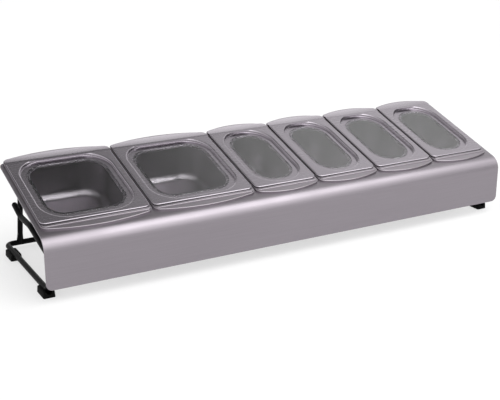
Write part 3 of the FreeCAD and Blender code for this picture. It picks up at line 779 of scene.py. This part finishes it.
@dataclass
class RodStand:
    """The bent rod, posts, tabs and brackets under one black coat, with a weld at the foot of each post."""

    bead_mm: float = 1.1
    bead_sides: int = 10
    ripple_mm: float = 0.18
    rings: int = 36

    def build(self) -> None:
        """Coat the CAD nodes and model the weld at the foot of each post."""
        coat = ROD_COAT.material()
        dress("stand_rod", coat)
        for side in Side:
            for name in ("rear_post", "post_tab", "front_bracket"):
                dress("%s_%s" % (name, side.value), coat)
            self.weld(side, coat)

    def weld(self, side: Side, coat: bpy.types.Material) -> None:
        """Lay one rippled bead along the saddle line where a post meets the back rail.

        Args:
            side: Side of the post.
            coat: Coat of the rod.
        """
        low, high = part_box("rear_post_%s" % side.value)
        rod_low, rod_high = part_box("stand_rod")
        half = (high.x - low.x) / 2
        rail = Vector(((low.x + high.x) / 2, rod_high.y - half, rod_low.z + half))
        up = Vector((0, low.y + half - rail.y, high.z - rail.z))
        inward = (self.bead_mm + 2 * self.ripple_mm) * MM
        near = half * math.sin(math.pi / self.rings)
        begin()
        bpy.ops.mesh.primitive_torus_add(
            major_radius=half,
            minor_radius=self.bead_mm * MM,
            major_segments=self.rings,
            minor_segments=self.bead_sides,
        )
        piece = bpy.context.object
        bpy.ops.object.mode_set(mode="EDIT")
        for ring in range(self.rings):
            turn = 2 * math.pi * ring / self.rings
            out = Vector((math.cos(turn), math.sin(turn), 0))
            across = Vector((-out.y, out.x, 0))
            select_edges(
                piece,
                lambda a, b: max(abs(a.dot(across)), abs(b.dot(across))) < near
                and min(a.dot(out), b.dot(out)) > 0,
            )
            if ring % 2:
                bpy.ops.transform.shrink_fatten(value=self.ripple_mm * MM)
            bpy.ops.transform.translate(value=(0, -out.y * inward, half * abs(out.x)))
        bpy.ops.object.mode_set(mode="OBJECT")
        piece.matrix_world = Matrix.Translation(rail) @ up.to_track_quat("Z", "Y").to_matrix().to_4x4()
        settle(piece)
        smooth(piece)
        finish_piece(piece, "weld_bead_%s" % side.value, Body.STATION.value, coat)


@dataclass
class RubberFeet:
    """Four moulded saddles that grip the rails from below."""

    corner_mm: float = 2.2
    corner_segments: int = 4
    edge_mm: float = 0.7
    edge_segments: int = 2
    sole_inset_mm: float = 2.4
    sole_depth_mm: float = 0.9
    taper_mm: float = 0.8
    saddle_fit_mm: float = 0.1
    saddle_sides: int = 48
    saddle_overrun: float = 1.2
    slack_mm: float = 0.07

    def build(self) -> None:
        """Model one foot per rail end in place of its CAD solid."""
        rubber = FOOT_RUBBER.material()
        for end in ("front", "rear"):
            for side in Side:
                self.foot("foot_%s_%s" % (end, side.value), rubber)

    def foot(self, node: str, rubber: bpy.types.Material) -> None:
        """Model one foot.

        Args:
            node: CAD node that the foot stands for.
            rubber: Its material.
        """
        low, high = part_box(node)
        size, middle = high - low, (high + low) / 2
        begin()
        bpy.ops.mesh.primitive_cube_add(size=1.0, location=middle, scale=size)
        piece = bpy.context.object
        settle(piece)
        bpy.ops.object.mode_set(mode="EDIT")
        bpy.ops.mesh.select_mode(type="FACE")
        select_faces(piece, lambda face: face.normal.z > FACING)
        bpy.ops.transform.resize(value=(1 - 2 * self.taper_mm * MM / size.x, 1, 1), center_override=middle)
        upright = size.z / 2
        select_edges(piece, lambda a, b: abs(a.z - b.z) > upright)
        bpy.ops.mesh.bevel(offset=self.corner_mm * MM, segments=self.corner_segments, affect="EDGES")
        slack = self.slack_mm * MM
        select_edges(piece, lambda a, b: abs(a.z - b.z) < slack)
        bpy.ops.mesh.bevel(offset=self.edge_mm * MM, segments=self.edge_segments, affect="EDGES")
        bpy.ops.mesh.select_mode(type="FACE")
        floor = low.z + slack
        select_faces(piece, lambda face: face.center.z < floor and face.normal.z < -FACING)
        bpy.ops.mesh.inset(thickness=self.sole_inset_mm * MM)
        bpy.ops.mesh.extrude_region_move(TRANSFORM_OT_translate={"value": (0, 0, self.sole_depth_mm * MM)})
        bpy.ops.object.mode_set(mode="OBJECT")
        rail_low, rail_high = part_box("stand_rod")
        rod = abs(rail_high.x) - abs(middle.x)
        begin()
        bpy.ops.mesh.primitive_cylinder_add(
            vertices=self.saddle_sides,
            radius=rod + self.saddle_fit_mm * MM,
            depth=size.y * self.saddle_overrun,
            location=(middle.x, middle.y, rail_low.z + rod),
            rotation=(math.pi / 2, 0, 0),
        )
        carve(piece, bpy.context.object)
        smooth(piece)
        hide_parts(node)
        finish_piece(piece, "moulded_" + node, Body.STATION.value, rubber)


@dataclass
class Fasteners:
    """The welded studs and their nuts under the deck."""

    def dress(self) -> None:
        """Give studs and nuts a plain turned finish."""
        steel = BOLT_STEEL.material()
        for node in ("weld_studs", "stud_nuts"):
            dress(node, steel)


@dataclass(frozen=True)
class Glow:
    """A soft patch of the surroundings that is brighter or darker than the rest."""

    towards: tuple[float, float, float]
    gain: float
    edges: tuple[float, float]


@dataclass
class Studio:
    """Pale floor, soft light and the camera."""

    camera_mm: tuple[float, float, float] = (-750.5, -1328.7, 577.1)
    azimuth: float = -28.873
    elevation: float = 19.059
    roll: float = 0.099
    lens_mm: float = 74.57
    sensor_mm: float = 36.0
    floor_size: float = 60.0
    floor_colour: str = "#F4F4F4"
    floor_glow: float = 0.60
    level: float = 0.95
    darkest: float = 0.03
    glows: tuple[Glow, ...] = (
        Glow((-0.02, 0.53, 0.85), -0.82, (0.83, 0.945)),
        Glow((0.32, -0.62, 0.72), 1.55, (0.62, 1.00)),
        Glow((0.93, -0.32, 0.18), -1.40, (0.80, 0.88)),
        Glow((0.36, 0.87, 0.34), 0.65, (0.925, 0.98)),
    )
    softbox_at: tuple[float, float, float] = (0.80, -0.85, 1.6)
    softbox_size: tuple[float, float] = (1.1, 1.7)
    softbox_power: float = 10.0

    def build(self) -> None:
        """Set up floor, world, lamp, camera and view transform."""
        self.floor()
        self.world()
        self.softbox()
        self.camera()
        bpy.context.scene.view_settings.view_transform = "Standard"

    def floor(self) -> None:
        """Lay a wide pale floor under the feet.

        What is seen of it, directly or in metal and panes, is partly white by itself, so its shadow is
        faint.
        """
        begin()
        bpy.ops.mesh.primitive_plane_add(size=self.floor_size, location=(0, 0, CAD_BOX[0].z))
        floor = bpy.context.object
        floor.name = "floor"
        material = bpy.data.materials.new("matt_floor")
        material.use_nodes = True
        tree = material.node_tree
        shader = tree.nodes["Principled BSDF"]
        shader.inputs["Base Color"].default_value = linear(self.floor_colour)
        shader.inputs["Roughness"].default_value = 1.0
        shader.inputs["Specular IOR Level"].default_value = 0.0
        path = add_node(tree, "ShaderNodeLightPath")
        seen = path.outputs["Is Camera Ray"]
        for ray in ("Is Glossy Ray", "Is Transmission Ray"):
            links = {0: seen, 1: path.outputs[ray]}
            seen = add_node(tree, "ShaderNodeMath", {}, links, operation="MAXIMUM").outputs[0]
        share = add_node(tree, "ShaderNodeMath", {1: self.floor_glow}, {0: seen}, operation="MULTIPLY")
        white = add_node(tree, "ShaderNodeEmission", {"Strength": 1.0})
        links = {0: share.outputs[0], 1: shader.outputs[0], 2: white.outputs[0]}
        blend = add_node(tree, "ShaderNodeMixShader", {}, links)
        tree.links.new(blend.outputs[0], tree.nodes["Material Output"].inputs["Surface"])
        floor.data.materials.append(material)

    def world(self) -> None:
        """Surround the object with even pale light that each glow lifts or dims softly."""
        world = bpy.data.worlds.new("studio")
        bpy.context.scene.world = world
        world.use_nodes = True
        tree = world.node_tree
        place = add_node(tree, "ShaderNodeTexCoord")
        total = add_node(tree, "ShaderNodeMath", {0: self.level, 1: 0.0}, operation="ADD").outputs[0]
        for glow in self.glows:
            towards = Vector(glow.towards).normalized()
            facing = add_node(
                tree,
                "ShaderNodeVectorMath",
                {1: towards},
                {0: place.outputs["Generated"]},
                operation="DOT_PRODUCT",
            )
            share = add_node(
                tree,
                "ShaderNodeMapRange",
                {"From Min": glow.edges[0], "From Max": glow.edges[1], "To Min": 0.0, "To Max": glow.gain},
                {"Value": facing.outputs["Value"]},
                interpolation_type="SMOOTHSTEP",
            )
            links = {0: total, 1: share.outputs["Result"]}
            total = add_node(tree, "ShaderNodeMath", {}, links, operation="ADD").outputs[0]
        lit = add_node(tree, "ShaderNodeMath", {1: self.darkest}, {0: total}, operation="MAXIMUM")
        tree.links.new(lit.outputs[0], tree.nodes["Background"].inputs["Strength"])
        tree.nodes["Background"].inputs["Color"].default_value = (1, 1, 1, 1)

    def softbox(self) -> None:
        """Hang one long softbox high above the front, to the right."""
        begin()
        bpy.ops.object.light_add(type="AREA", location=self.softbox_at)
        lamp = bpy.context.object
        lamp.name = "softbox"
        lamp.data.shape = "RECTANGLE"
        lamp.data.size, lamp.data.size_y = self.softbox_size
        lamp.data.energy = self.softbox_power

    def camera(self) -> None:
        """Stand the camera at the photograph's viewpoint."""
        data = bpy.data.cameras.new("camera")
        camera = bpy.data.objects.new("camera", data)
        bpy.context.scene.collection.objects.link(camera)
        data.sensor_fit = "HORIZONTAL"
        data.sensor_width = self.sensor_mm
        data.lens = self.lens_mm
        turn = Matrix.Rotation(math.radians(self.azimuth), 4, "Z")
        pitch = Matrix.Rotation(math.radians(90 - self.elevation), 4, "X")
        lean = Matrix.Rotation(math.radians(self.roll), 4, "Z")
        camera.matrix_world = Matrix.Translation(Vector(self.camera_mm) * MM) @ turn @ pitch @ lean
        bpy.context.scene.camera = camera


def main() -> None:
    """Build and dress the station, then set up the studio."""
    logging.basicConfig(level=logging.INFO, format="%(name)s: %(message)s")
    DeckSheet().dress()
    PanRow().dress()
    LidRow().dress()
    RodStand().build()
    RubberFeet().build()
    Fasteners().dress()
    Studio().build()


if __name__ == "__main__":
    main()
